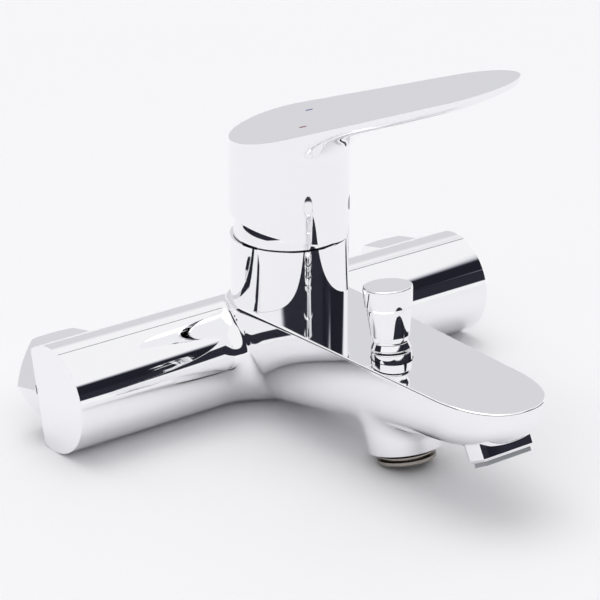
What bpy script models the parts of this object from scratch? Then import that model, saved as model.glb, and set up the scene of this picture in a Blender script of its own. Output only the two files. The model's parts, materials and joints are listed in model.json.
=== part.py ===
"""Wall mounted bath faucet: single lever mixer with a pull-up diverter, a bath spout and a hose outlet.

Origin: midway between the two inlets, on the plane where the wall unions press on their washers.
+X is to the user's right, +Y goes into the wall and +Z is up. All sizes below are in millimetres.
"""

from math import atan2, cos, pi, radians, sin, sqrt, tan

import bmesh
import bpy
from mathutils import Matrix, Vector

MM = 0.001
GAP = 0.3  # clearance between neighbouring pieces

# Body and inlets
INLET_SPACING = 150.0
BODY_LENGTH = 182.8
BODY_RADIUS = 19.4
FLAT_BACK = 9.1  # distance of the flat back behind the body's axis
BODY_Y = -17.8
BODY_Z = -2.5
NUT_ACROSS_FLATS = 30.0
NUT_FRONT, NUT_REAR = -8.4, 5.6
NUT_LIP = 3.0
NIPPLE_RADIUS, NIPPLE_BORE, FLANGE_RADIUS = 9.0, 6.5, 11.7
FEED_CHAMBER_RADIUS = 11.5
CHAMBER_FORWARD = -5.0  # the chambers lie forward of the body's axis, so that the flat back keeps its wall

# The tower leans forward, and the spout's plate is square to it. W is a height along the tower's axis.
LEAN = 12.1
TOWER_U = -16.45  # the tower's axis, in front of the body's axis
TOWER_RADIUS = 21.1
TOWER_TOP = 46.0
CARTRIDGE_BORE = 17.8
SEAT_W = 10.0
PLATE_W = 22.4

# Spout, measured forward from the tower's axis
PLATE_ROOT_RADIUS = 22.2
SPOUT_HALF_WIDTH = 19.0
TIP_START, TIP_END = 98.0, 128.0
TIP_POWER = 2.35
HULL_POWER = 2.6

# Lever: azimuth to the right of straight ahead, and heights on the tower's axis
LEVER_AZIMUTH = 45.8
LEVER_RISE = 13.8
PIVOT_W = 46.0
LEVER_TOP_W = 87.1
SKIRT_RADIUS = 21.5
SKIRT_INNER = 20.5
SKIRT_BOTTOM_W, SKIRT_SLOPE = 50.9, 12.1
BLADE_END = 80.3
DOME_RADIUS = 20.0
SCREW_W = 58.0

# Diverter, on its own axis: H is a height above the plate
DIVERTER_X, DIVERTER_U = -7.6, -83.7
DIVERTER_BACK_TILT = 6.0
STEM_RADIUS = 2.0
CHAMBER_RADIUS, CHAMBER_TOP, CHAMBER_FLOOR = 6.2, -7.5, -19.0

# Hose outlet and aerator, from the body's axis
OUTLET_Y = -77.5
BOSS_Z = -30.5
STUB_END_Z = -35.0
STUB_RADIUS = 10.4
AERATOR_Y, AERATOR_Z = -129.7, -25.9
AERATOR_TILT = 16.0
AERATOR_WIDTH, AERATOR_DEPTH = 22.0, 10.0

ROUND, MIDDLE, SMALL = 56, 32, 24  # sides of large, middling and small turned pieces


# ---------------------------------------------------------------- scene and materials

for old in list(bpy.data.objects):
    bpy.data.objects.remove(old, do_unlink=True)


def material(name, color, roughness, metallic):
    made = bpy.data.materials.new(name)
    made.use_nodes = True
    shader = made.node_tree.nodes["Principled BSDF"]
    shader.inputs["Base Color"].default_value = (*color, 1.0)
    shader.inputs["Roughness"].default_value = roughness
    shader.inputs["Metallic"].default_value = metallic
    made.diffuse_color = (*color, 1.0)
    return made


CHROME = material("chrome", (0.86, 0.86, 0.88), 0.05, 1.0)
BRASS = material("brass", (0.72, 0.56, 0.28), 0.3, 1.0)
STEEL = material("stainless_steel", (0.62, 0.62, 0.63), 0.3, 1.0)
GREY_PLASTIC = material("grey_plastic", (0.45, 0.46, 0.48), 0.45, 0.0)
WHITE_PLASTIC = material("white_plastic", (0.85, 0.85, 0.83), 0.4, 0.0)
CERAMIC = material("disc_ceramic", (0.9, 0.88, 0.84), 0.15, 0.0)
RUBBER = material("rubber", (0.03, 0.03, 0.03), 0.7, 0.0)
RED_MARK = material("red_mark", (0.45, 0.08, 0.08), 0.4, 0.0)
BLUE_MARK = material("blue_mark", (0.08, 0.14, 0.42), 0.4, 0.0)


def empty(name, place, tilt_x=0.0, turn_z=0.0, parent=None):
    """A frame to build on: moved to place (mm), then turned about Z and tilted about X (degrees)."""
    made = bpy.data.objects.new(name, None)
    bpy.context.collection.objects.link(made)
    made.parent = parent
    made.rotation_euler = (radians(tilt_x), 0.0, radians(turn_z))
    made.location = Vector(place) * MM
    return made


body_frame = empty("body_frame", (0, BODY_Y, BODY_Z))
tilted_frame = empty("tilted_frame", (0, 0, 0), LEAN, parent=body_frame)
tower_axis = empty("tower_axis", (0, TOWER_U, 0), parent=tilted_frame)
lever_frame = empty("lever_frame", (0, 0, 0), turn_z=LEVER_AZIMUTH, parent=tower_axis)
diverter_axis = empty(
    "diverter_axis", (DIVERTER_X, DIVERTER_U, PLATE_W), -DIVERTER_BACK_TILT, parent=tilted_frame
)
outlet_axis = empty("outlet_axis", (0, OUTLET_Y, 0), parent=body_frame)
aerator_axis = empty("aerator_axis", (0, AERATOR_Y, AERATOR_Z), -AERATOR_TILT, parent=body_frame)


# ---------------------------------------------------------------- mesh helpers


def make(name, bm, frame, finish, helper=False, sharp=35.0):
    """An object from a bmesh in millimetres, on a frame, with its normals facing out."""
    bmesh.ops.remove_doubles(bm, verts=bm.verts, dist=0.0005)
    bmesh.ops.recalc_face_normals(bm, faces=bm.faces)
    if bm.calc_volume(signed=True) < 0:
        bmesh.ops.reverse_faces(bm, faces=bm.faces)
    bmesh.ops.scale(bm, vec=(MM, MM, MM), verts=bm.verts)
    mesh = bpy.data.meshes.new(name)
    bm.to_mesh(mesh)
    bm.free()
    mesh.shade_smooth()
    mesh.set_sharp_from_angle(angle=radians(sharp))
    made = bpy.data.objects.new(name, mesh)
    bpy.context.collection.objects.link(made)
    made.parent = frame
    if helper:
        made.hide_render = True
        made.display_type = "WIRE"
    else:
        mesh.materials.append(finish)
    return made


def with_origin(made, place):
    """Moves the object's origin to a place in its frame, and leaves its shape where it is."""
    made.location = Vector(place) * MM
    for vertex in made.data.vertices:
        vertex.co -= made.location
    return made


def ring_loft(rings):
    """A bmesh skinned over rings of equal length, with its ends capped."""
    bm = bmesh.new()
    loops = [[bm.verts.new(point) for point in ring] for ring in rings]
    for first, second in zip(loops, loops[1:]):
        count = len(first)
        for i in range(count):
            j = (i + 1) % count
            bm.faces.new((first[i], first[j], second[j], second[i]))
    bm.faces.new(loops[0])
    bm.faces.new(loops[-1])
    return bm


def turned(profile, sides=MIDDLE, place=(0, 0, 0), axis="Z"):
    """A solid of revolution from a closed outline of (radius, height) points. A pole has radius 0."""
    bm = bmesh.new()
    rows = []
    for radius, height in profile:
        if radius == 0:
            rows.append([bm.verts.new((0, 0, height))])
            continue
        angles = [2 * pi * i / sides for i in range(sides)]
        rows.append([bm.verts.new((radius * cos(a), radius * sin(a), height)) for a in angles])
    for first, second in zip(rows, rows[1:] + rows[:1]):
        for i in range(sides):
            j = (i + 1) % sides
            if len(first) == 1 and len(second) == 1:
                break
            if len(first) == 1:
                bm.faces.new((first[0], second[i], second[j]))
            elif len(second) == 1:
                bm.faces.new((first[i], first[j], second[0]))
            else:
                bm.faces.new((first[i], first[j], second[j], second[i]))
    return placed(bm, place, axis)


def placed(bm, place, axis):
    """The bmesh with its Z axis laid along the named axis, and moved."""
    turns = {"Z": Matrix(), "Y": Matrix.Rotation(-pi / 2, 4, "X"), "X": Matrix.Rotation(pi / 2, 4, "Y")}
    bmesh.ops.transform(bm, matrix=Matrix.Translation(place) @ turns[axis], verts=bm.verts)
    return bm


def rod(radius, low, high, sides=SMALL, place=(0, 0, 0), axis="Z"):
    return turned([(0, low), (radius, low), (radius, high), (0, high)], sides, place, axis)


def tube(inner, outer, low, high, sides=MIDDLE, place=(0, 0, 0), axis="Z"):
    return turned([(inner, low), (outer, low), (outer, high), (inner, high)], sides, place, axis)


def torus(major, minor, height, sides=16, around=6, place=(0, 0, 0), axis="Z"):
    angles = [2 * pi * i / around for i in range(around)]
    profile = [(major + minor * cos(a), height + minor * sin(a)) for a in angles]
    return turned(profile, sides, place, axis)


def block(low, high):
    """A box between two corners."""
    bm = bmesh.new()
    bmesh.ops.create_cube(bm, size=1.0)
    for vertex in bm.verts:
        vertex.co = Vector(
            [lo if c < 0 else hi for c, lo, hi in zip(vertex.co, low, high)]
        )
    return bm


def rotated(bm, angle, axis, place=(0, 0, 0)):
    """The bmesh turned about an axis through the origin, and then moved."""
    turn = Matrix.Translation(place) @ Matrix.Rotation(angle, 4, axis)
    bmesh.ops.transform(bm, matrix=turn, verts=bm.verts)
    return bm


def prism(outline, low, high):
    """A plane outline of (x, y) points, between two heights."""
    return ring_loft([[(x, y, z) for x, y in outline] for z in (low, high)])


def rounded_rectangle(width, depth, radius, steps=4):
    corners = [(1, 1, 0), (-1, 1, 90), (-1, -1, 180), (1, -1, 270)]
    points = []
    for sx, sy, start in corners:
        for i in range(steps + 1):
            a = radians(start + 90 * i / steps)
            points.append(
                (
                    sx * (width / 2 - radius) + radius * cos(a),
                    sy * (depth / 2 - radius) + radius * sin(a),
                )
            )
    return points


def passage(name, start, end, radius, frame, sides=16):
    """A helper cylinder between two points, for drilling."""
    start, end = Vector(start), Vector(end)
    along = end - start
    bm = rod(radius, 0, along.length, sides)
    turn = Vector((0, 0, 1)).rotation_difference(along).to_matrix().to_4x4()
    bmesh.ops.transform(bm, matrix=Matrix.Translation(start) @ turn, verts=bm.verts)
    return make(name, bm, frame, None, helper=True)


def helper(name, bm, frame):
    return make(name, bm, frame, None, helper=True)


def combine(target, operation, *others):
    for other in others:
        modifier = target.modifiers.new(other.name, "BOOLEAN")
        modifier.operation = operation
        modifier.solver = "EXACT"
        modifier.object = other
    return target


def combine_all(target, operation, name, others):
    """One Boolean with a whole collection of helpers, so that no rounding builds up between them."""
    group = bpy.data.collections.new(name)
    bpy.context.scene.collection.children.link(group)
    for other in others:
        group.objects.link(other)
    modifier = target.modifiers.new(name, "BOOLEAN")
    modifier.operation = operation
    modifier.solver = "EXACT"
    modifier.operand_type = "COLLECTION"
    modifier.collection = group
    return target


# ---------------------------------------------------------------- main casting


def body_bar():
    """The horizontal bar: a cylinder with a flat back, its end edges softened."""
    flat_angle = atan2(sqrt(BODY_RADIUS**2 - FLAT_BACK**2), FLAT_BACK)
    steps = 36

    def section(x, inset):
        radius = BODY_RADIUS - inset
        angles = [flat_angle + (2 * pi - 2 * flat_angle) * i / steps for i in range(steps + 1)]
        points = [(x, radius * cos(a), radius * sin(a)) for a in angles]
        return [(px, min(py, FLAT_BACK - inset), pz) for px, py, pz in points]

    end, soft = BODY_LENGTH / 2, 0.6
    rings = [section(-end, soft), section(-end + soft, 0), section(end - soft, 0), section(end, soft)]
    return ring_loft(rings)


def plate_half_width(s):
    """Half the plate's width at a distance s in front of the tower's axis."""
    if s >= TIP_END:
        return 0.0
    if s > TIP_START:
        t = (s - TIP_START) / (TIP_END - TIP_START)
        return SPOUT_HALF_WIDTH * (1 - t**TIP_POWER) ** (1 / TIP_POWER)
    if s > 0:
        return PLATE_ROOT_RADIUS + (SPOUT_HALF_WIDTH - PLATE_ROOT_RADIUS) * s / TIP_START
    return sqrt(max(PLATE_ROOT_RADIUS**2 - s * s, 0.0))


def hull_floor(s):
    """Height of the spout's underside, from the hull's root to its tip."""
    knots = [
        (-23, 8), (-10, -6), (0, -13.5), (8, -16.5), (26, -12.5), (46, -9), (70, -4.8), (92, -0.6),
        (104, 2.4), (114, 5.2), (121, 8.4), (125.5, 12.4), (127.4, 16.0), (TIP_END, 20.0),
    ]
    for (s0, w0), (s1, w1) in zip(knots, knots[1:]):
        if s <= s1:
            return w0 + (w1 - w0) * (s - s0) / (s1 - s0)
    return knots[-1][1]


def spout_hull():
    """A flat plate with a rounded keel under it, from behind the tower to the spout's tip."""
    back = [-PLATE_ROOT_RADIUS * cos(a * pi / 16) for a in range(1, 8)]
    front = [TIP_START + (TIP_END - TIP_START) * sin(a * pi / 20) for a in range(1, 10)]
    stations = back + [0, 8, 17, 26, 36, 46, 58, 70, 82, 92] + front + [TIP_END - 0.08]
    rings = []
    for s in stations:
        half, floor = plate_half_width(s), hull_floor(s)
        ring = []
        for i in range(19):
            a = pi * i / 18
            across = abs(cos(a)) ** (2 / HULL_POWER)
            down = abs(sin(a)) ** (2 / HULL_POWER)
            x = half * across * (1 if cos(a) >= 0 else -1)
            ring.append((x, -s, PLATE_W - (PLATE_W - floor) * down))
        rings.append(ring)
    return ring_loft(rings)


def main_casting():
    casting = make("main_casting", body_bar(), body_frame, CHROME)
    hull = helper("spout_hull", spout_hull(), tower_axis)
    tower = helper("tower", rod(TOWER_RADIUS, 11, TOWER_TOP, ROUND), tower_axis)
    boss = helper(
        "outlet_boss",
        turned([(0, -8), (15.6, -8), (14.8, -20), (13.2, BOSS_Z + 0.5), (12.8, BOSS_Z), (0, BOSS_Z)], 40),
        outlet_axis,
    )
    combine_all(casting, "UNION", "casting_shapes", [hull, tower, boss])

    cuts = [helper("cartridge_bore", rod(CARTRIDGE_BORE, SEAT_W, TOWER_TOP + 2, ROUND), tower_axis)]
    for side, x in (("left", -1), ("right", 1)):
        inlet_bore = rod(NIPPLE_RADIUS + GAP, -8, 12, SMALL, (x * INLET_SPACING / 2, 0, -BODY_Z), "Y")
        cuts.append(helper(f"{side}_inlet_bore", inlet_bore, body_frame))
        feed_start = (x * (INLET_SPACING / 2 + 4), 0, 0)
        cuts.append(passage(f"{side}_feed", feed_start, (x * 9, 0, 0), 5, body_frame))
        start, end = (x * 24, CHAMBER_FORWARD, 0), (x * 61, CHAMBER_FORWARD, 0)
        cuts.append(passage(f"{side}_feed_chamber", start, end, FEED_CHAMBER_RADIUS, body_frame, 24))
        port = (x * 7.5, TOWER_U + 4, SEAT_W + 1)
        cuts.append(passage(f"{side}_port", (x * 11, 0, 0), port, 3, tilted_frame, 16))
    start = (0, TOWER_U - 8.5, SEAT_W + 1)
    elbow = (0, TOWER_U - 10.5, 5)
    chamber = (DIVERTER_X, DIVERTER_U + 2, PLATE_W - 13)
    cuts.append(passage("mixed_port", start, (0, TOWER_U - 8.5, 2.5), 3, tilted_frame, 16))
    cuts.append(passage("mixed_channel", elbow, chamber, 3.4, tilted_frame, 16))
    cuts.append(helper("collar_seat", rod(7.3, -0.9, 4), diverter_axis))
    cuts.append(helper("collar_hole", rod(5.3, CHAMBER_TOP - 0.5, 0, SMALL), diverter_axis))
    cuts.append(helper("chamber", rod(CHAMBER_RADIUS, CHAMBER_FLOOR, CHAMBER_TOP, SMALL), diverter_axis))
    start, end = (0, 0, CHAMBER_FLOOR + 1), (4.5, 4, CHAMBER_FLOOR - 8)
    cuts.append(passage("lower_port", start, end, 3.4, diverter_axis))
    cuts.append(helper("outlet_bore", rod(STUB_RADIUS - 1, BOSS_Z - 2, -20.7), outlet_axis))
    cuts.append(helper("outlet_recess", rod(11.6, BOSS_Z - 2, -27.5), outlet_axis))
    pocket = prism(rounded_rectangle(AERATOR_WIDTH + 0.6, AERATOR_DEPTH + 0.6, 1.2), -6, 13)
    cuts.append(helper("aerator_pocket", pocket, aerator_axis))
    start, end = (DIVERTER_X, DIVERTER_U - 1, PLATE_W - 10), (0, -124, 11.5)
    cuts.append(passage("spout_channel", start, end, 3, tilted_frame, 12))
    return combine_all(casting, "DIFFERENCE", "casting_cuts", cuts)


# ---------------------------------------------------------------- inlets


def inlet(side, x):
    place = (x * INLET_SPACING / 2, 0, 0)
    half_flat = NUT_ACROSS_FLATS / 2
    corner = half_flat / cos(pi / 6)
    hexagon = [(corner * cos(pi * i / 3), corner * sin(pi * i / 3)) for i in range(6)]
    blank = placed(prism(hexagon, NUT_FRONT, NUT_REAR), place, "Y")
    nut = make(f"{side}_union_nut", blank, None, CHROME, sharp=20)
    with_origin(nut, place)
    outside = corner + 1
    round_off = [
        (0, NUT_FRONT - 1), (outside, NUT_FRONT - 1), (outside, NUT_REAR - 3.2),
        (half_flat - 1.6, NUT_REAR + 0.2), (0, NUT_REAR + 0.2),
    ]
    round_off = turned(round_off, MIDDLE, place, "Y")
    combine(nut, "INTERSECT", helper(f"{side}_nut_chamfer", round_off, None))
    socket = rod(12.2, NUT_FRONT + NUT_LIP, NUT_REAR + 2, MIDDLE, place, "Y")
    lip = rod(NIPPLE_RADIUS + 0.4, NUT_FRONT - 2, NUT_REAR, MIDDLE, place, "Y")
    combine(nut, "DIFFERENCE", helper(f"{side}_nut_socket", socket, None))
    combine(nut, "DIFFERENCE", helper(f"{side}_nut_lip", lip, None))

    flange = NUT_FRONT + NUT_LIP + GAP
    seal = flange + 2.5 + GAP
    nipple_end = BODY_Y - 7.5
    profile = [
        (NIPPLE_BORE, nipple_end), (NIPPLE_RADIUS, nipple_end), (NIPPLE_RADIUS, nipple_end + 3.2),
        (7.5, nipple_end + 3.2), (7.5, nipple_end + 5.4), (NIPPLE_RADIUS, nipple_end + 5.4),
        (NIPPLE_RADIUS, flange), (FLANGE_RADIUS, flange), (FLANGE_RADIUS, flange + 2.5),
        (NIPPLE_BORE, flange + 2.5),
    ]
    ring = torus(8.4, 0.7, nipple_end + 4.3, 24, 6, place, "Y")
    make(f"{side}_nipple_o_ring", ring, None, RUBBER)
    make(f"{side}_inlet_nipple", turned(profile, MIDDLE, place, "Y"), None, BRASS)
    washer = tube(NIPPLE_BORE, FLANGE_RADIUS, seal, 0, MIDDLE, place, "Y")
    make(f"{side}_sealing_washer", washer, None, RUBBER)


# ---------------------------------------------------------------- cartridge, on the tower's axis


def cartridge_fixed():
    ports = [(-7.5, 4), (7.5, 4), (0, -8.5)]
    base = make("cartridge_base", rod(17.4, SEAT_W + GAP, SEAT_W + 9.7, MIDDLE), tower_axis, GREY_PLASTIC)
    fixed = make("fixed_ceramic_disc", rod(14.8, SEAT_W + 10, SEAT_W + 14, MIDDLE), tower_axis, CERAMIC)
    for name, (x, y) in zip(("hot", "cold", "mixed"), ports):
        place = (x, y, 0)
        through = helper(f"{name}_way", rod(2.6, SEAT_W - 1, SEAT_W + 16, 16, place), tower_axis)
        pocket = helper(f"{name}_pocket", rod(5.3, SEAT_W - 1, SEAT_W + 2.9, 16, place), tower_axis)
        combine(base, "DIFFERENCE", through, pocket)
        combine(fixed, "DIFFERENCE", through)
        make(f"{name}_port_seal", torus(3.9, 1.0, SEAT_W + 1.4, place=place), tower_axis, RUBBER)
    low, top = SEAT_W + 10, 41.3
    profile = [(15.2, low), (17.3, low), (17.3, top), (10.8, top), (10.8, top - 2.5), (15.2, top - 2.5)]
    make("cartridge_housing", turned(profile), tower_axis, GREY_PLASTIC)
    ring = [(11.2, top + GAP), (17.3, top + GAP), (17.3, 49.5), (11.2, 49.5)]
    nut = make("cartridge_nut", turned(ring), tower_axis, BRASS)
    for i in range(3):
        slot = rotated(block((-25, -1.5, 47.5), (25, 1.5, 51)), pi * i / 3, "Z")
        combine(nut, "DIFFERENCE", helper(f"spanner_slot_{i}", slot, tower_axis))


def dome_cap():
    """A domed ring over the cartridge nut, part of a sphere about the lever's pivot."""
    low, top, wall = TOWER_TOP + GAP, 55.0, 1.7
    outer = [low + (top - 0.5 - low) * i / 4 for i in range(5)]
    profile = [(sqrt(DOME_RADIUS**2 - (w - PIVOT_W) ** 2), w) for w in outer]
    profile += [(17.4, top), (12.6, top), (12.6, top - wall)]
    inner = DOME_RADIUS - wall
    profile += [(sqrt(inner**2 - (w - PIVOT_W) ** 2), w) for w in (top - wall, 50, low)]
    make("dome_cap", turned(profile, 48), tower_axis, CHROME)


def cartridge_moving():
    """The lever guide, its pin, the moving disc and its carrier. -Y is towards the lever's blade."""
    flange, neck_top = 34.8, 50.0
    profile = [(0, flange), (14.4, flange), (14.4, 38.4), (10.4, 38.4), (10.4, neck_top), (0, neck_top)]
    guide = make("lever_guide", turned(profile), lever_frame, WHITE_PLASTIC)
    slot = helper("guide_slot", block((-4.1, -7.5, flange - 1), (4.1, 7.5, neck_top + 1)), lever_frame)
    bore = helper("pin_bore", rod(1.8, -12, 12, 16, (0, 0, PIVOT_W), "X"), lever_frame)
    combine(guide, "DIFFERENCE", slot, bore)
    make("pivot_pin", rod(1.5, -10, 10, 16, (0, 0, PIVOT_W), "X"), lever_frame, STEEL)

    behind = 2.6  # with the water off, the moving disc stands this far behind the axis
    disc = rod(11.0, SEAT_W + 14.3, SEAT_W + 18.3, MIDDLE, (0, behind, 0))
    disc = make("moving_ceramic_disc", disc, lever_frame, CERAMIC)
    hollow = rod(6.5, SEAT_W + 13, SEAT_W + 16.3, 24, (0, behind, 0))
    combine(disc, "DIFFERENCE", helper("disc_hollow", hollow, lever_frame))
    carrier = rod(11.0, SEAT_W + 18.6, 34.4, MIDDLE, (0, behind, 0))
    carrier = make("disc_carrier", carrier, lever_frame, WHITE_PLASTIC)
    combine(carrier, "DIFFERENCE", helper("ball_pocket", rod(3.2, 29.4, 36, 24), lever_frame))


# ---------------------------------------------------------------- lever


def lever_half_width(s):
    """Half the lever's width at a distance s in front of the tower's axis."""
    taper, tip = 34.0, 56.0
    if s <= 0:
        return sqrt(max(SKIRT_RADIUS**2 - s * s, 0.0))
    if s < taper:
        return 17.0 + (SKIRT_RADIUS - 0.4 - 17.0) * (1 - s / taper) ** 2
    if s < tip:
        return 17.0
    t = min((s - tip) / (BLADE_END - tip), 1.0)
    return 17.0 * sqrt(1 - t * t)


def blade_depth(s):
    knots = [
        (0, 18), (16, 17), (20, 14.5), (24, 11.4), (30, 8.8), (40, 7.4), (60, 6.8), (72, 5.4), (78, 3.6),
        (BLADE_END, 2.2),
    ]
    for (s0, d0), (s1, d1) in zip(knots, knots[1:]):
        if s <= s1:
            return d0 + (d1 - d0) * (s - s0) / (s1 - s0)
    return knots[-1][1]


def blade():
    """Flat on top, with a thin edge and a keel under it."""
    stations = [0, 6, 12, 16, 20, 24, 30, 40, 50, 56]
    stations += [56 + (BLADE_END - 56) * sin(a * pi / 16) for a in range(1, 8)] + [BLADE_END - 0.1]
    rings = []
    for s in stations:
        half, depth = lever_half_width(s), blade_depth(s)
        top = LEVER_TOP_W + s * tan(radians(LEVER_RISE))
        edge = min(2.4, depth * 0.6)
        ring = [(half, -s, top)]
        for i in range(11):
            t = 1 - 2 * i / 10
            ring.append((half * t, -s, top - edge - (depth - edge) * (1 - t * t)))
        ring.append((-half, -s, top))
        rings.append(ring)
    return ring_loft(rings)


def lever():
    pivot = (0, 0, PIVOT_W)
    handle = make("lever_handle", rod(SKIRT_RADIUS, 40, 100, ROUND), lever_frame, CHROME)
    with_origin(handle, pivot)
    above = rotated(block((-40, -30, 0), (40, 40, 60)), radians(-LEVER_RISE), "X", (0, 0, LEVER_TOP_W))
    below = block((-40, -40, -60), (40, 40, 0))
    below = rotated(below, radians(SKIRT_SLOPE), "X", (0, 0, SKIRT_BOTTOM_W))
    combine(handle, "DIFFERENCE", helper("above_lever", above, lever_frame))
    combine(handle, "DIFFERENCE", helper("below_skirt", below, lever_frame))
    combine(handle, "UNION", helper("blade", blade(), lever_frame))
    hollow = [(0, 30), (SKIRT_INNER, 30), (SKIRT_INNER, 60), (18.2, 64), (18.2, 77), (0, 77)]
    hollow = turned(hollow, 40)
    combine(handle, "DIFFERENCE", helper("skirt_hollow", hollow, lever_frame))
    combine(handle, "UNION", helper("hub", rod(7.5, 55.4, 79, SMALL), lever_frame))
    socket = block((-4.0, -4.0, 50), (4.0, 4.0, 74.4))
    screw_hole = rod(2.6, -30, 3, 20, (0, 0, SCREW_W), "Y")
    combine(handle, "DIFFERENCE", helper("spindle_socket", socket, lever_frame))
    combine(handle, "DIFFERENCE", helper("screw_hole", screw_hole, lever_frame))

    spindle = make("lever_spindle", block((-3.7, -3.7, 40), (3.7, 3.7, 74)), lever_frame, STEEL)
    with_origin(spindle, pivot)
    tail = turned([(0, 29.9), (1.8, 30.4), (2.8, 32.5), (2.3, 34.6), (2.3, 41), (0, 41)], 20)
    eye = rod(1.8, -6, 6, 16, (0, 0, PIVOT_W), "X")
    combine(spindle, "UNION", helper("spindle_tail", tail, lever_frame))
    combine(spindle, "DIFFERENCE", helper("spindle_eye", eye, lever_frame))
    screw = rod(2.3, -10.5, -4.0, 20, (0, 0, SCREW_W), "Y")
    screw = with_origin(make("lever_set_screw", screw, lever_frame, STEEL), pivot)
    key = [(1.25 * cos(pi * i / 3), 1.25 * sin(pi * i / 3)) for i in range(6)]
    key = placed(prism(key, -12, -7.5), (0, 0, SCREW_W), "Y")
    combine(screw, "DIFFERENCE", helper("screw_key", key, lever_frame))
    plug = rod(2.3, -21.3, -19.2, 20, (0, 0, SCREW_W), "Y")
    with_origin(make("screw_cover_plug", plug, lever_frame, GREY_PLASTIC), pivot)


def temperature_marks():
    """Two short enamel dashes on the lever's top, side by side across it."""
    forward, apart, thickness = 6.1, 9.5, 0.06
    rise = radians(LEVER_RISE)
    for name, x, finish in (("hot_mark", -apart, RED_MARK), ("cold_mark", apart, BLUE_MARK)):
        dash = prism(rounded_rectangle(1.0, 2.6, 0.45), 0.001, thickness)
        top = LEVER_TOP_W + forward * tan(rise)
        dash = rotated(dash, -rise, "X", (x, -forward, top))
        with_origin(make(name, dash, lever_frame, finish), (0, 0, PIVOT_W))


# ---------------------------------------------------------------- diverter, on its own axis


def diverter():
    collar = [
        (2.3, -7), (5.0, -7), (5.0, -0.6), (7.0, -0.6), (7.0, 1.0), (6.4, 2.8), (2.3, 2.8),
        (2.3, -1.4), (3.9, -1.4), (3.9, -3.4), (2.3, -3.4),
    ]
    make("diverter_collar", turned(collar, SMALL), diverter_axis, CHROME)
    make("stem_o_ring", torus(3.05, 0.7, -2.4), diverter_axis, RUBBER)
    knob = [
        (2.3, 3.1), (5.6, 3.1), (6.0, 3.6), (6.0, 6.8), (6.7, 8.2), (7.55, 17.4), (7.55, 17.9),
        (8.1, 18.6), (8.55, 24.7), (8.1, 25.4), (0, 25.6), (0, 19.8), (2.3, 19.8),
    ]
    make("diverter_knob", turned(knob), diverter_axis, CHROME)
    floor = CHAMBER_FLOOR
    make("diverter_stem", rod(STEM_RADIUS, floor + 0.4, 19.5, 20), diverter_axis, BRASS)
    make("diverter_lower_seal", tube(2.3, 5.4, floor + 0.4, floor + 1.3, 24), diverter_axis, RUBBER)
    make("diverter_valve_disc", tube(2.3, 5.7, floor + 1.6, floor + 3.4, 24), diverter_axis, BRASS)
    make("diverter_upper_seal", tube(2.3, 5.4, floor + 3.7, floor + 4.6, 24), diverter_axis, RUBBER)


# ---------------------------------------------------------------- hose outlet


def hose_outlet():
    bore = 7.6
    nipple = [
        (bore, STUB_END_Z), (9.6, STUB_END_Z), (STUB_RADIUS, STUB_END_Z + 0.8), (STUB_RADIUS, -27.8),
        (9.1, -27.8), (9.1, -21), (5.8, -21), (5.8, -24), (bore, -24),
    ]
    make("hose_outlet_nipple", turned(nipple), outlet_axis, CHROME)
    valve = [(5.7, -33.4), (7.3, -33.4), (7.3, -24.3), (3.6, -24.3), (3.6, -25.5), (5.7, -25.5)]
    valve = make("check_valve_body", turned(valve, SMALL), outlet_axis, WHITE_PLASTIC)
    for i in range(2):
        bar = rotated(block((-6.2, -0.9, -33.4), (6.2, 0.9, -32.2)), pi / 2 * i, "Z")
        combine(valve, "UNION", helper(f"guide_bar_{i}", bar, outlet_axis))
    guide_hole = rod(1.5, -35, -30, 16)
    combine(valve, "DIFFERENCE", helper("guide_hole", guide_hole, outlet_axis))
    poppet = [(0, -33.1), (1.1, -33.1), (1.1, -27.2), (4.9, -27.2), (4.9, -26.6), (3.9, -25.8), (0, -25.8)]
    make("check_valve_poppet", turned(poppet, 16), outlet_axis, WHITE_PLASTIC)
    coil_spring("check_valve_spring", 2.3, 0.28, -31.9, -27.5, 4)


def coil_spring(name, radius, wire, low, high, turns):
    """A helix of round wire, standing on the outlet's axis."""
    per_turn, around = 12, 5
    count = turns * per_turn
    rings = []
    for i in range(count + 1):
        a = 2 * pi * i / per_turn
        z = low + wire + (high - low - 2 * wire) * i / count
        ring = []
        for j in range(around):
            b = 2 * pi * j / around
            r = radius + wire * cos(b)
            ring.append((r * cos(a), r * sin(a), z + wire * sin(b)))
        rings.append(ring)
    make(name, ring_loft(rings), outlet_axis, STEEL)


# ---------------------------------------------------------------- aerator


def aerator():
    outer = rounded_rectangle(AERATOR_WIDTH, AERATOR_DEPTH, 0.9)
    inner_width, inner_depth = AERATOR_WIDTH - 2.2, AERATOR_DEPTH - 2.2
    frame = make("aerator_frame", prism(outer, 0, 8.6), aerator_axis, CHROME)
    opening = prism(rounded_rectangle(inner_width, inner_depth, 0.5), -1, 12)
    combine(frame, "DIFFERENCE", helper("frame_opening", opening, aerator_axis))
    insert_size = (inner_width - 2 * GAP, inner_depth - 2 * GAP, 0.4)
    insert = prism(rounded_rectangle(*insert_size), -1.5, 5)
    insert = make("aerator_insert", insert, aerator_axis, GREY_PLASTIC)
    slots = 6
    pitch = (inner_width - 2.4) / slots
    for i in range(slots):
        x = pitch * (i + 0.5 - slots / 2)
        half_x, half_y = pitch * 0.32, inner_depth / 2 - 1.3
        slot = block((x - half_x, -half_y, -3), (x + half_x, half_y, 7))
        combine(insert, "DIFFERENCE", helper(f"jet_slot_{i}", slot, aerator_axis))
    make("aerator_screen", prism(rounded_rectangle(*insert_size), 5.3, 6.3), aerator_axis, STEEL)
    gasket = make("aerator_gasket", prism(rounded_rectangle(*insert_size), 6.6, 8.2), aerator_axis, RUBBER)
    hole = prism(rounded_rectangle(insert_size[0] - 3, insert_size[1] - 3, 0.4), 6, 9)
    combine(gasket, "DIFFERENCE", helper("gasket_hole", hole, aerator_axis))


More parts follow.
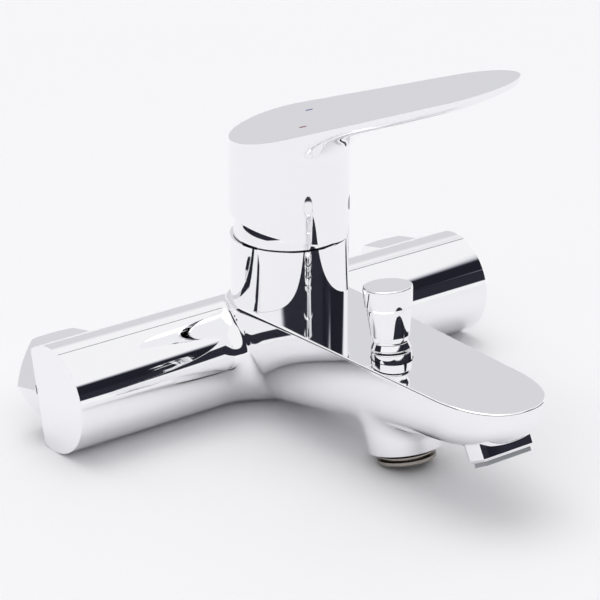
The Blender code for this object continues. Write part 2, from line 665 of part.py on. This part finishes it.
main_casting()
inlet("left", -1)
inlet("right", 1)
cartridge_fixed()
dome_cap()
cartridge_moving()
lever()
temperature_marks()
diverter()
hose_outlet()
aerator()
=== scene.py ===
"""Looks of the wall mounted bath faucet: polished chrome on a white table, seen from its front left.

Shapes are in millimetres in the same frames as the CAD: the body's axis, the leaning tower and its lever,
the diverter, the hose outlet and the aerator. They become metres when a piece is made.
"""

import json
from math import atan, cos, pi, radians, sin, sqrt, tan

import bmesh
import bpy
import numpy as np
from mathutils import Matrix, Vector

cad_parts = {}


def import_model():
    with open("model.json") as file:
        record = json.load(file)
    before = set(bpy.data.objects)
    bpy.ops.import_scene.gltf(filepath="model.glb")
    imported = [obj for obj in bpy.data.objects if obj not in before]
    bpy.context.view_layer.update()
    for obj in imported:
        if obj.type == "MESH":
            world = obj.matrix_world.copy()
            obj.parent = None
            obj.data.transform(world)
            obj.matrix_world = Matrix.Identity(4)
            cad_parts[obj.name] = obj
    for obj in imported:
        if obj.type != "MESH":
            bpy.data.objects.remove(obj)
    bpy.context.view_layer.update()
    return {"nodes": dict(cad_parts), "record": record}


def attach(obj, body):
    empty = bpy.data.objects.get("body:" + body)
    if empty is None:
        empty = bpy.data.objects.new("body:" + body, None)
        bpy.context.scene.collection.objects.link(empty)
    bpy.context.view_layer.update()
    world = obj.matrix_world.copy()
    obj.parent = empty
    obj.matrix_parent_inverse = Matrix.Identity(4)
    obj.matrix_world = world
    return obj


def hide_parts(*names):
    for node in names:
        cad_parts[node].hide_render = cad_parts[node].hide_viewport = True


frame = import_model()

MM = 0.001
FLAT_AREA = 6e-5  # square metres: a face this large is a flat one
SHARP = radians(32)  # faces that meet at more than this have a sharp edge
SPARE = 3  # how far fields and cutters run on past a face

# Body and spout, as in the CAD
BODY_HALF, BODY_RADIUS, FLAT_BACK = 91.4, 19.4, 9.1
LEAN = radians(12.1)
TOWER_U, TOWER_RADIUS, TOWER_TOP = -16.45, 21.1, 46.0
PLATE_W, PLATE_ROOT, SPOUT_HALF = 22.4, 22.2, 19.0
TIP_START, TIP_LENGTH, TIP_POWER = 98.0, 30.0, 2.35
HULL_POWER, HULL_STEEP = 2.6, 18
KEEL_FLOOR, KEEL_START, KEEL_RATE = 4.4, 113.7, 0.19  # the spout's keel rises towards its tip
RIM_DEPTH, RIM_LARGE, RIM_SMALL, RIM_FADE, RIM_STEPS = 2.6, 2.3, 0.65, 52.0, 5
OUTLET_Y, BOSS_Z, STUB_END_Z, STUB_RADIUS = -77.5, -30.5, -35.0, 10.4
BOSS_RADIUS, BOSS_FLARE, BOSS_BLEND = 13.0, 0.11, 3
ROOT_WIDE, ROOT_LESS, ROOT_FROM, ROOT_OVER = 7, 4.5, 6, 12  # the fillet of spout and bar, narrower higher up
CARTRIDGE_BORE, INLET_X, INLET_BORE = 17.8, 75, 9.3

# Lever
RISE = atan(0.2456)
LEVER_TOP_W, BLADE_HALF, BLADE_ROUND, BLADE_END = 87.1, 17.0, 56.0, 80.3
BLADE_TAPER, BLADE_EDGE = radians(4.7), 1.7
SKIRT_BOTTOM_W, SKIRT_SLOPE = 50.9, 0.2144
SKIRT_RADIUS, SKIRT_INNER, SKIRT_DRAFT, SKIRT_RUN = 21.5, 20.5, 0.45, 41
BLADE_THICK, BLADE_THINNER, THIN_RUN = 7.0, 2.6, 40  # the blade thins over its outer half
FILLET_SIDE, FILLET_FRONT = 5.5, 6.5  # under the blade, the fillet to the skirt is wider in front
EDGE_BACK, EDGE_FRONT, EDGE_RUN = 0.05, 0.75, 12
PIVOT_W, DOME_RADIUS, SCREW_W = 46.0, 20.0, 58.0

# Frames of the CAD's sub-parts
BODY = Matrix.Translation((0, -17.8, -2.5))
TILTED = BODY @ Matrix.Rotation(LEAN, 4, "X")
TOWER = TILTED @ Matrix.Translation((0, TOWER_U, 0))
LEVER = TOWER @ Matrix.Rotation(radians(45.8), 4, "Z")
DIVERTER = TILTED @ Matrix.Translation((-7.6, -83.7, PLATE_W)) @ Matrix.Rotation(radians(-6), 4, "X")
OUTLET = BODY @ Matrix.Translation((0, OUTLET_Y, 0))
AERATOR = BODY @ Matrix.Translation((0, -129.7, -25.9)) @ Matrix.Rotation(radians(-16), 4, "X")


# ---------------------------------------------------------------- materials


def node_material(name, color, metallic, roughness, grain=0.02, scale=400.0, bump=0.0):
    """A Principled material whose roughness varies a little, with an optional fine bump."""
    made = bpy.data.materials.new(name)
    made.use_nodes = True
    nodes, links = made.node_tree.nodes, made.node_tree.links
    shader = nodes["Principled BSDF"]
    shader.inputs["Base Color"].default_value = (*color, 1)
    shader.inputs["Metallic"].default_value = metallic
    place = nodes.new("ShaderNodeTexCoord")
    noise = nodes.new("ShaderNodeTexNoise")
    noise.inputs["Scale"].default_value = scale
    noise.inputs["Detail"].default_value = 3
    spread = nodes.new("ShaderNodeMapRange")
    spread.inputs["To Min"].default_value = max(roughness - grain, 0)
    spread.inputs["To Max"].default_value = roughness + grain
    links.new(place.outputs["Object"], noise.inputs["Vector"])
    links.new(noise.outputs["Fac"], spread.inputs["Value"])
    links.new(spread.outputs["Result"], shader.inputs["Roughness"])
    if bump:
        relief = nodes.new("ShaderNodeBump")
        relief.inputs["Strength"].default_value = bump
        relief.inputs["Distance"].default_value = 0.0002
        links.new(noise.outputs["Fac"], relief.inputs["Height"])
        links.new(relief.outputs["Normal"], shader.inputs["Normal"])
    return made


CHROME = node_material("polished_chrome", (0.94, 0.94, 0.955), 1, 0.035, 0.01, 60)
MACHINED = node_material("machined_brass", (0.70, 0.53, 0.27), 1, 0.28, 0.06, 900, 0.15)
THREAD = node_material("plated_thread", (0.36, 0.33, 0.30), 1, 0.24, 0.05, 900, 0.1)
STEEL = node_material("stainless_steel", (0.60, 0.60, 0.61), 1, 0.3, 0.06, 900, 0.1)
GREY = node_material("grey_moulded_plastic", (0.36, 0.37, 0.39), 0, 0.45, 0.08, 700, 0.2)
WHITE = node_material("white_moulded_plastic", (0.82, 0.82, 0.80), 0, 0.4, 0.08, 700, 0.2)
CERAMIC = node_material("lapped_ceramic", (0.88, 0.86, 0.82), 0, 0.15, 0.03, 500)
RUBBER = node_material("black_rubber", (0.02, 0.02, 0.02), 0, 0.6, 0.1, 800, 0.3)
RED = node_material("red_enamel", (0.30, 0.10, 0.12), 0, 0.3, 0.05, 500)
BLUE = node_material("blue_enamel", (0.10, 0.12, 0.30), 0, 0.3, 0.05, 500)

FINISHES = {
    "chrome": CHROME, "brass": MACHINED, "stainless_steel": STEEL, "grey_plastic": GREY,
    "white_plastic": WHITE, "disc_ceramic": CERAMIC, "rubber": RUBBER, "red_mark": RED, "blue_mark": BLUE,
}


def repaint_nodes():
    """Every CAD node that stays gets the material of its slot in the record."""
    for part in frame["record"]["subparts"]:
        mesh = frame["nodes"][part["node"]].data
        mesh.materials.clear()
        mesh.materials.append(FINISHES[part["material_slot"]])


# ---------------------------------------------------------------- mesh helpers


def turned(profile, sides=128):
    """A solid of revolution about Z from a closed outline of (radius, height) points."""
    bm = bmesh.new()
    rows = []
    for radius, height in profile:
        if radius == 0:
            rows.append([bm.verts.new((0, 0, height))])
        else:
            angles = [2 * pi * i / sides for i in range(sides)]
            rows.append([bm.verts.new((radius * cos(a), radius * sin(a), height)) for a in angles])
    for first, second in zip(rows, rows[1:] + rows[:1]):
        if len(first) == len(second) == 1:
            continue
        for i in range(sides):
            j = (i + 1) % sides
            ring = [first[i % len(first)], first[j % len(first)]]
            ring += [second[j % len(second)], second[i % len(second)]]
            bm.faces.new(list(dict.fromkeys(ring)))
    bmesh.ops.recalc_face_normals(bm, faces=bm.faces)
    return bm


def rod(radius, low, high, sides=96):
    return turned([(0, low), (radius, low), (radius, high), (0, high)], sides)


def rounded(profile, radii, steps=5):
    """The outline with each corner that has a radius replaced by an arc."""
    points = []
    count = len(profile)
    for i, radius in enumerate(radii):
        here = Vector(profile[i])
        if not radius:
            points.append(tuple(here))
            continue
        before = (Vector(profile[i - 1]) - here).normalized()
        after = (Vector(profile[(i + 1) % count]) - here).normalized()
        half = before.angle(after) / 2
        centre = here + (before + after).normalized() * radius / sin(half)
        start = here + before * radius / tan(half) - centre
        end = here + after * radius / tan(half) - centre
        sweep = start.angle_signed(end)
        for k in range(steps + 1):
            turn = Matrix.Rotation(-sweep * k / steps, 2)
            points.append(tuple(centre + turn @ start))
    return points


def block(low, high):
    bm = bmesh.new()
    bmesh.ops.create_cube(bm, size=1)
    for vertex in bm.verts:
        vertex.co = Vector([lo if c < 0 else hi for c, lo, hi in zip(vertex.co, low, high)])
    return bm


def prism(outline, low, high):
    bm = bmesh.new()
    rows = [[bm.verts.new((x, y, z)) for x, y in outline] for z in (low, high)]
    for i in range(len(outline)):
        j = (i + 1) % len(outline)
        bm.faces.new((rows[0][i], rows[0][j], rows[1][j], rows[1][i]))
    bm.faces.new(rows[0])
    bm.faces.new(rows[1])
    bmesh.ops.recalc_face_normals(bm, faces=bm.faces)
    return bm


def rectangle(width, depth, radius, steps=6):
    points = []
    for sx, sy, start in ((1, 1, 0), (-1, 1, 90), (-1, -1, 180), (1, -1, 270)):
        for i in range(steps + 1):
            a = radians(start + 90 * i / steps)
            x, y = sx * (width / 2 - radius), sy * (depth / 2 - radius)
            points.append((x + radius * cos(a), y + radius * sin(a)))
    return points


def rotated(bm, angle, axis):
    bmesh.ops.rotate(bm, cent=(0, 0, 0), matrix=Matrix.Rotation(angle, 3, axis), verts=bm.verts)
    return bm


def smooth(mesh):
    mesh.shade_smooth()
    mesh.set_sharp_from_angle(angle=SHARP)


def mesh_object(name, bm, place, finish=None):
    """The bmesh, in millimetres on the frame place, as an object in metres."""
    bm.transform(Matrix.Scale(MM, 4) @ place)
    mesh = bpy.data.meshes.new(name)
    bm.to_mesh(mesh)
    bm.free()
    smooth(mesh)
    if finish:
        mesh.materials.append(finish)
    made = bpy.data.objects.new(name, mesh)
    bpy.context.scene.collection.objects.link(made)
    return made


def piece(name, bm, place, finish, body, slot, *nodes):
    """A visible piece that rides a body and stands for CAD nodes."""
    return declared(mesh_object(name, bm, place, finish), body, slot, *nodes)


def declared(made, body, slot, *nodes):
    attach(made, body)
    if nodes:
        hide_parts(*nodes)
    return made


def cut(target, *steps):
    """Applies exact Booleans, given as (operation, [helper objects]), and removes the helpers."""
    for operation, helpers in steps:
        group = bpy.data.collections.new("cutters")
        bpy.context.scene.collection.children.link(group)
        for helper in helpers:
            bpy.context.scene.collection.objects.unlink(helper)
            group.objects.link(helper)
        modifier = target.modifiers.new("cut", "BOOLEAN")
        modifier.operation = operation
        modifier.solver = "EXACT"
        modifier.operand_type = "COLLECTION"
        modifier.collection = group
        bpy.context.view_layer.update()
        evaluated = target.evaluated_get(bpy.context.evaluated_depsgraph_get())
        solid = bpy.data.meshes.new_from_object(evaluated)
        target.modifiers.clear()
        target.data = solid
        for helper in helpers:
            bpy.data.objects.remove(helper)
        bpy.data.collections.remove(group)
    return target


# ---------------------------------------------------------------- smooth solids from a field


def gradient(field, points, step=0.02):
    """The field's slope at each point, by central differences."""
    slope = np.empty_like(points)
    for axis in range(3):
        offset = np.zeros(3)
        offset[axis] = step
        slope[:, axis] = field(points + offset) - field(points - offset)
    slope /= 2 * step
    return slope


def skin(field, low, high, cell):
    """A closed bmesh on the field's zero surface, by surface nets, its vertices then moved on to it."""
    axes = [np.arange(lo, hi + cell, cell) for lo, hi in zip(low, high)]
    grid = np.stack(np.meshgrid(*axes, indexing="ij"), axis=-1)
    values = field(grid.reshape(-1, 3)).reshape(grid.shape[:3])
    inside = values < 0
    first, last = slice(0, -1), slice(1, None)
    ends = (first, last)
    around = np.stack([inside[i, j, k] for i in ends for j in ends for k in ends])
    crossed = around.any(axis=0) & ~around.all(axis=0)
    index = np.full(crossed.shape, -1)
    index[crossed] = np.arange(crossed.sum())
    points = grid[:-1, :-1, :-1][crossed] + cell / 2
    for _ in range(6):
        slope = gradient(field, points)
        step = field(points)[:, None] * slope / np.maximum((slope**2).sum(axis=1), 0.05)[:, None]
        points = points - np.clip(step, -cell, cell)
    bm = bmesh.new()
    vertices = [bm.verts.new(point) for point in points]
    for axis in range(3):
        b, c = (axis + 1) % 3, (axis + 2) % 3
        near = np.moveaxis(inside, [axis, b, c], [0, 1, 2])
        cells = np.moveaxis(index, [axis, b, c], [0, 1, 2])
        change = near[:-1] != near[1:]
        for i, j, k in np.argwhere(change[:, 1:-1, 1:-1]):
            j, k = j + 1, k + 1
            ring = [cells[i, j - 1, k - 1], cells[i, j, k - 1], cells[i, j, k], cells[i, j - 1, k]]
            if not near[i, j, k]:
                ring.reverse()
            bm.faces.new([vertices[n] for n in ring])
    bmesh.ops.recalc_face_normals(bm, faces=bm.faces)
    return bm


def bisected(bm, point, normal):
    """Cuts away what lies beyond a plane, and returns the edges round the hole."""
    everything = bm.verts[:] + bm.edges[:] + bm.faces[:]
    cut_made = bmesh.ops.bisect_plane(
        bm, geom=everything, plane_co=point, plane_no=normal, clear_outer=True, dist=1e-4
    )
    return [e for e in cut_made["geom_cut"] if isinstance(e, bmesh.types.BMEdge) and e.is_boundary]


def slice_flat(bm, point, normal):
    """Cuts away what lies beyond a plane, and closes the cut."""
    bmesh.ops.contextual_create(bm, geom=bisected(bm, point, normal))
    bmesh.ops.recalc_face_normals(bm, faces=bm.faces)


def bridge(bm, rings):
    """Faces between each ring of vertices and the next."""
    for first, second in zip(rings, rings[1:]):
        for i, vertex in enumerate(first):
            bm.faces.new((first[i - 1], vertex, second[i], second[i - 1]))


def true_normals(made, field, place):
    """Field normals on the curved faces, and flat ones on the large faces, so that reflections run true."""
    mesh = made.data
    smooth(mesh)
    count = len(mesh.vertices)
    points = np.empty(count * 3)
    mesh.vertices.foreach_get("co", points)
    back = (Matrix.Scale(MM, 4) @ place).inverted()
    local = points.reshape(-1, 3) @ np.array(back.to_3x3()).T + np.array(back.translation)
    slope = gradient(field, local)
    steep = np.sqrt((slope**2).sum(axis=1))
    on_surface = np.abs(field(local)) < 0.02 * np.maximum(steep, 0.1)
    slope /= np.maximum(steep, 1e-9)[:, None]
    normals = slope @ np.array(place.to_3x3().normalized()).T
    loops = np.empty(len(mesh.loops) * 3)
    mesh.corner_normals.foreach_get("vector", loops)
    loops = loops.reshape(-1, 3)
    corner_vertex = np.empty(len(mesh.loops), int)
    mesh.loops.foreach_get("vertex_index", corner_vertex)
    for face in mesh.polygons:
        corners = np.arange(face.loop_start, face.loop_start + face.loop_total)
        own = corner_vertex[corners]
        if face.area > FLAT_AREA:
            loops[corners] = face.normal
            continue
        if not on_surface[own].all():
            continue
        if (normals[own] @ np.array(face.normal) < 0.8).any():
            continue
        loops[corners] = normals[own]
    mesh.normals_split_custom_set(loops.tolist())


def soft_min(a, b, reach):
    """The lesser of two fields, blended where they are within reach of each other."""
    near = np.maximum(reach - np.abs(a - b), 0) / reach
    return np.minimum(a, b) - near * near * reach / 4


def soft_max(a, b, reach):
    return -soft_min(-a, -b, reach)


# ---------------------------------------------------------------- casting


def spout_field(x, s, w):
    """Zero on the spout's surface, for x to the side, s in front of the tower's axis and w up it."""
    width = PLATE_ROOT + (SPOUT_HALF - PLATE_ROOT) * np.clip(s / TIP_START, 0, 1)
    middle = np.abs(x) / width
    back = np.hypot(x, s) / PLATE_ROOT
    ahead = np.maximum(s - TIP_START, 0) / TIP_LENGTH
    tip = ((np.abs(x) / SPOUT_HALF) ** TIP_POWER + ahead**TIP_POWER) ** (1 / TIP_POWER)
    plan = np.where(s < 0, back, np.where(s > TIP_START, tip, middle))
    floor = KEEL_FLOOR - np.log1p(np.exp((KEEL_START - s) * KEEL_RATE))
    depth = np.maximum(PLATE_W - w, 0) / (PLATE_W - floor)
    return HULL_STEEP * ((plan**HULL_POWER + depth**HULL_POWER) ** (1 / HULL_POWER) - 1)


def casting_field(points):
    """Bar, spout and outlet boss blended together, in the body's frame. The flats are cut afterwards."""
    x, y, z = points.T
    u = y * cos(LEAN) + z * sin(LEAN)
    w = z * cos(LEAN) - y * sin(LEAN)
    bar = np.hypot(y, z) - BODY_RADIUS
    spout = np.maximum(spout_field(x, TOWER_U - u, w), w - PLATE_W - SPARE)
    boss = np.hypot(x, y - OUTLET_Y) - (BOSS_RADIUS + BOSS_FLARE * (z - BOSS_Z))
    boss = np.maximum(boss, z + 14)
    root = ROOT_WIDE - ROOT_LESS * np.clip((w - ROOT_FROM) / ROOT_OVER, 0, 1)
    body = soft_min(bar, spout, root)
    body = soft_min(body, boss, BOSS_BLEND)
    return np.maximum(np.maximum(body, np.abs(x) - BODY_HALF - SPARE), BOSS_Z - SPARE - z)


def roll_plate_edge(bm):
    """Cuts the spout just below its plate and closes it with a rolled edge, wider beside the tower."""
    up = Vector((0, -sin(LEAN), cos(LEAN)))
    ahead = Vector((0, -cos(LEAN), -sin(LEAN)))
    edges = bisected(bm, up * (PLATE_W - RIM_DEPTH), up)
    loop = [edges[0].verts[0], edges[0].verts[1]]
    last = edges[0]
    while loop[-1] is not loop[0]:
        last = next(e for e in loop[-1].link_edges if e.is_boundary and e is not last)
        loop.append(last.other_vert(loop[-1]))
    loop.pop()
    slopes = gradient(casting_field, np.array([vertex.co for vertex in loop]))
    rings = [loop]
    for step in range(RIM_STEPS + 1):
        angle = pi / 2 * step / RIM_STEPS
        ring = []
        for vertex, slope in zip(loop, slopes):
            outward = Vector(slope)
            outward = (outward - up * outward.dot(up)).normalized()
            near = min(max((RIM_FADE - (vertex.co.dot(ahead) + TOWER_U)) / RIM_FADE, 0), 1)
            radius = RIM_SMALL + (RIM_LARGE - RIM_SMALL) * near * near
            rise = RIM_DEPTH - radius + radius * sin(angle)
            ring.append(bm.verts.new(vertex.co + up * rise - outward * radius * (1 - cos(angle))))
        rings.append(ring)
    bridge(bm, rings)
    bm.faces.new(rings[-1])
    bmesh.ops.recalc_face_normals(bm, faces=bm.faces)


def casting():
    bm = skin(casting_field, (-97, -152, -37), (97, 24, 34), 1.25)
    for side in (-1, 1):
        slice_flat(bm, (side * BODY_HALF, 0, 0), (side, 0, 0))
    slice_flat(bm, (0, FLAT_BACK, 0), (0, 1, 0))
    slice_flat(bm, (0, 0, BOSS_Z), (0, 0, -1))
    roll_plate_edge(bm)
    made = mesh_object("casting_shell", bm, BODY, CHROME)

    tower = mesh_object("tower", rod(TOWER_RADIUS, 12, TOWER_TOP, 160), TOWER)
    cuts = [mesh_object("cartridge_bore", rod(CARTRIDGE_BORE, 10, TOWER_TOP + SPARE), TOWER)]
    for x in (-INLET_X, INLET_X):
        bore = rotated(rod(INLET_BORE, -12, 8), -pi / 2, "X")
        cuts.append(mesh_object("inlet_bore", bore, BODY @ Matrix.Translation((x, 0, 2.5))))
    cuts.append(mesh_object("collar_seat", rod(7.3, -0.9, 6), DIVERTER))
    cuts.append(mesh_object("collar_hole", rod(5.3, -8, 0), DIVERTER))
    cuts.append(mesh_object("chamber", rod(6.2, -19, -7.5), DIVERTER))
    cuts.append(mesh_object("outlet_bore", rod(9.4, BOSS_Z - SPARE, -20.7), OUTLET))
    cuts.append(mesh_object("outlet_recess", rod(11.6, BOSS_Z - SPARE, -27.5), OUTLET))
    pocket = prism(rectangle(22.6, 10.6, 1.2), -8, 13)
    cuts.append(mesh_object("aerator_pocket", pocket, AERATOR))
    cut(made, ("UNION", [tower]), ("DIFFERENCE", cuts))
    true_normals(made, casting_field, BODY)
    declared(made, "faucet_body", "chrome", "main_casting")


# ---------------------------------------------------------------- lever


def skirt_radius(w):
    return SKIRT_RADIUS - SKIRT_DRAFT * np.clip((w - PIVOT_W) / SKIRT_RUN, 0, 1.2)


def lever_field(points):
    """The skirt and the blade, joined by a wide hollow curve, in the lever's frame: -Y is forward."""
    x, y, w = points.T
    s = -y
    radius = skirt_radius(w)
    skirt = np.hypot(x, s) - radius
    half = radius / cos(BLADE_TAPER) - s * tan(BLADE_TAPER)
    ahead = np.maximum(s - BLADE_ROUND, 0) / (BLADE_END - BLADE_ROUND)
    plan = np.where(s < radius * sin(BLADE_TAPER), skirt / radius + 1, np.hypot(x / half, ahead))
    wall = (plan - 1) * BLADE_HALF
    top = LEVER_TOP_W + s * tan(RISE)
    thick = BLADE_THICK - BLADE_THINNER * np.clip((s - THIN_RUN) / THIN_RUN, 0, 1) ** 1.5
    belly = np.maximum(1 - np.minimum(plan, 1) ** 2, 0)
    keel = BLADE_EDGE + (thick - BLADE_EDGE) * np.sqrt(belly + 0.002)
    under = top - keel - w
    forward = np.maximum(s, 0) / np.maximum(np.hypot(x, s), 1)
    joined = soft_min(skirt, under, FILLET_SIDE + FILLET_FRONT * forward**2)
    shape = soft_max(wall, joined, EDGE_BACK + EDGE_FRONT * np.clip(s / EDGE_RUN, 0, 1))
    return np.maximum(np.maximum(shape, w - top - SPARE), 40 - w)


def lever():
    bm = skin(lever_field, (-25, -86, 36), (25, 26, 112), 0.9)
    slice_flat(bm, (0, 0, LEVER_TOP_W), (0, sin(RISE), cos(RISE)))
    low = Vector((0, SKIRT_SLOPE, -1)).normalized()
    slice_flat(bm, (0, 0, SKIRT_BOTTOM_W), low)
    made = mesh_object("lever_shell", bm, LEVER, CHROME)
    hollow = turned([(0, 30), (SKIRT_INNER, 30), (SKIRT_INNER, 60), (18.2, 64), (18.2, 77), (0, 77)])
    hub = mesh_object("hub", rod(7.5, 55.4, 79, 64), LEVER)
    socket = mesh_object("socket", block((-4, -4, 50), (4, 4, 74.4)), LEVER)
    screw_hole = rotated(rod(2.6, 3, 30, 48), pi / 2, "X")
    screw_hole = mesh_object("screw_hole", screw_hole, LEVER @ Matrix.Translation((0, 0, SCREW_W)))
    cut(
        made,
        ("DIFFERENCE", [mesh_object("hollow", hollow, LEVER)]),
        ("UNION", [hub]),
        ("DIFFERENCE", [socket, screw_hole]),
    )
    true_normals(made, lever_field, LEVER)
    declared(made, "lever", "chrome", "lever_handle")


# ---------------------------------------------------------------- smaller chrome pieces


def dome_cap():
    low, top, wall, steps = TOWER_TOP + 0.3, 55.0, 1.7, 16

    def arc(radius, start, end):
        heights = [start + (end - start) * i / steps for i in range(steps + 1)]
        return [(sqrt(radius**2 - (w - PIVOT_W) ** 2), w) for w in heights]

    profile = arc(DOME_RADIUS, low, top - 0.5) + [(17.4, top), (12.6, top), (12.6, top - wall)]
    profile += arc(DOME_RADIUS - wall, top - wall, low)
    piece("dome_cap_shell", turned(profile, 160), TOWER, CHROME, "faucet_body", "chrome", "dome_cap")


def diverter():
    collar = [
        (2.3, -7), (5.0, -7), (5.0, -0.6), (7.0, -0.6), (7.0, 2.8), (2.3, 2.8),
        (2.3, -1.4), (3.9, -1.4), (3.9, -3.4), (2.3, -3.4),
    ]
    collar = rounded(collar, [0, 0, 0, 0, 0.4, 0, 0, 0, 0, 0])
    collar = turned(collar, 96)
    piece("collar_shell", collar, DIVERTER, CHROME, "faucet_body", "chrome", "diverter_collar")
    knob = [
        (2.3, 3.4), (6.6, 3.4), (6.9, 3.8), (6.0, 5.9), (6.0, 6.8), (6.7, 8.2), (7.55, 17.4), (7.55, 17.9),
        (8.1, 18.6), (8.55, 24.7), (8.5, 25.6), (0, 25.6), (0, 19.8), (2.3, 19.8),
    ]
    knob = rounded(knob, [0, 0, 0.3, 0.8, 0, 1.0, 0, 0, 0.25, 0, 0.5, 0, 0, 0])
    piece("knob_shell", turned(knob, 128), DIVERTER, CHROME, "diverter", "chrome", "diverter_knob")


def hose_outlet():
    """The threaded stub: two ridges with deep grooves stand for its thread."""
    groove, crest = 8.7, STUB_RADIUS
    profile = [
        (7.6, STUB_END_Z), (9.9, STUB_END_Z), (crest, STUB_END_Z + 0.5), (crest, -33.5), (groove, -33.1),
        (groove, -32.7), (crest, -32.3), (crest, -31.9), (groove, -31.5), (groove, -28.3),
        (9.1, -27.8), (9.1, -21), (5.8, -21), (5.8, -24), (7.6, -24),
    ]
    stub = turned(profile, 128)
    piece("outlet_thread", stub, OUTLET, THREAD, "faucet_body", "chrome", "hose_outlet_nipple")


def aerator():
    """The chrome frame: round corners, a chamfer at its mouth, and the opening for the grey insert."""
    outer = bmesh.new()
    low, high, chamfer = 0.0, 8.6, 0.9
    rings = [(low, chamfer), (chamfer, 0.0), (high, 0.0)]
    loops = []
    for height, inset in rings:
        outline = rectangle(22.0 - 2 * inset, 10.0 - 2 * inset, 1.9 - inset)
        loops.append([outer.verts.new((x, y, height)) for x, y in outline])
    bridge(outer, loops)
    outer.faces.new(loops[0])
    outer.faces.new(loops[-1])
    bmesh.ops.recalc_face_normals(outer, faces=outer.faces)
    made = mesh_object("aerator_rim", outer, AERATOR, CHROME)
    opening = prism(rectangle(19.8, 7.8, 0.5), -1, 12)
    cut(made, ("DIFFERENCE", [mesh_object("opening", opening, AERATOR)]))
    smooth(made.data)
    declared(made, "faucet_body", "chrome", "aerator_frame")


# ---------------------------------------------------------------- table, light and camera


STUDIO_WHITE = 0.95
TABLE_RADIUS = 1800
LENS, SENSOR = 164.3, 36
CAMERA_PLACE, CAMERA_AHEAD = (-0.5486, -0.8250, 0.2238), (0.5616, 0.7991, -0.2147)
CAMERA_TURN, CAMERA_ROLL = radians(35.1), radians(7.7)
# Patches of the studio, each over the ones before: brightness, azimuths, elevations and softness in
# degrees, and how much the patch falls per degree of azimuth. Azimuth 0 is in front, 90 to the right.
# They were set against the photo's reflections, and the real studio isn't known.
PATCHES = [
    (2.6, (-250, 250), (66, 100), 4, 0),
    (0.70, (112, 250), (-20, 34), 10, 0),
    (0.83, (110, 128), (34, 44), 8, 0),
    (0.025, (-149, 92), (-4.5, 14), 1.5, 0),
    (0.02, (-149, -101), (5, 36), 2, 0),
    (0.015, (26, 58), (14, 28.5), 4, -0.75),
    (0.015, (45, 92), (8, 22), 2, 0),
    (0.05, (98, 130), (47.6, 49.8), 0.7, -0.857),
]


def table():
    """A white table that touches the bar and the hose outlet, square to the tower."""
    bm = bmesh.new()
    bmesh.ops.create_circle(bm, cap_ends=True, radius=TABLE_RADIUS, segments=96)
    made = mesh_object("table", bm, TILTED @ Matrix.Translation((0, -60, -BODY_RADIUS - 0.05)))
    white = node_material("white_table", (0.9, 0.895, 0.91), 0, 0.7, 0.02, 30)
    made.data.materials.append(white)


def world():
    """White studio with patches of light and dark, which the camera itself sees as white."""
    made = bpy.data.worlds.new("studio")
    bpy.context.scene.world = made
    made.use_nodes = True
    nodes, links = made.node_tree.nodes, made.node_tree.links

    def calc(operation, *values):
        node = nodes.new("ShaderNodeMath")
        node.operation = operation
        for socket, value in zip(node.inputs, values):
            if isinstance(value, (int, float)):
                socket.default_value = value
            else:
                links.new(value, socket)
        return node.outputs[0]

    def ramp(value, start, end):
        node = nodes.new("ShaderNodeMapRange")
        node.interpolation_type = "SMOOTHSTEP"
        links.new(value, node.inputs["Value"])
        node.inputs["From Min"].default_value = start
        node.inputs["From Max"].default_value = end
        return node.outputs["Result"]

    split = nodes.new("ShaderNodeSeparateXYZ")
    links.new(nodes.new("ShaderNodeTexCoord").outputs["Generated"], split.inputs["Vector"])
    x, y, z = split.outputs
    elevation = calc("MULTIPLY", calc("ARCSINE", z), 180 / pi)
    azimuth = calc("MULTIPLY", calc("ARCTAN2", x, calc("MULTIPLY", y, -1)), 180 / pi)
    azimuth = calc("ADD", azimuth, calc("MULTIPLY", calc("LESS_THAN", azimuth, -150), 360))
    light = STUDIO_WHITE
    for brightness, (left, right), (low, high), soft, fall in PATCHES:
        across = calc("MULTIPLY", ramp(azimuth, left, left + soft), ramp(azimuth, right, right - soft))
        tilt = calc("MULTIPLY", calc("SUBTRACT", azimuth, (left + right) / 2), fall)
        height = calc("ADD", elevation, tilt)
        upward = calc("MULTIPLY", ramp(height, low, low + soft), ramp(height, high + soft, high))
        inside = calc("MULTIPLY", across, upward)
        outside = calc("MULTIPLY", light, calc("SUBTRACT", 1, inside))
        light = calc("ADD", outside, calc("MULTIPLY", inside, brightness))
    seen = nodes.new("ShaderNodeLightPath").outputs["Is Camera Ray"]
    light = calc("MAXIMUM", light, calc("MULTIPLY", seen, STUDIO_WHITE))
    cool = nodes.new("ShaderNodeCombineColor")
    blue = calc("MAXIMUM", light, calc("POWER", light, 0.9))
    for channel, shade in zip(cool.inputs, (light, light, blue)):
        links.new(shade, channel)
    links.new(cool.outputs["Color"], nodes["Background"].inputs["Color"])
    nodes["Background"].inputs["Strength"].default_value = 1


def camera():
    data = bpy.data.cameras.new("camera")
    data.lens, data.sensor_width = LENS, SENSOR
    data.clip_end = 20
    made = bpy.data.objects.new("camera", data)
    bpy.context.scene.collection.objects.link(made)
    ahead = Vector(CAMERA_AHEAD).normalized()
    level = Vector((cos(CAMERA_TURN), -sin(CAMERA_TURN), 0))
    above = level.cross(ahead)
    right = level * cos(CAMERA_ROLL) - above * sin(CAMERA_ROLL)
    up = level * sin(CAMERA_ROLL) + above * cos(CAMERA_ROLL)
    turn = Matrix((right, up, -ahead)).transposed()
    made.matrix_world = Matrix.Translation(CAMERA_PLACE) @ turn.to_4x4()
    bpy.context.scene.camera = made


repaint_nodes()
casting()
lever()
dome_cap()
diverter()
hose_outlet()
aerator()
table()
world()
camera()
bpy.context.scene.view_settings.view_transform = "Standard"


def corners(box):
    return [[round(value, 6) for value in corner] for corner in box]
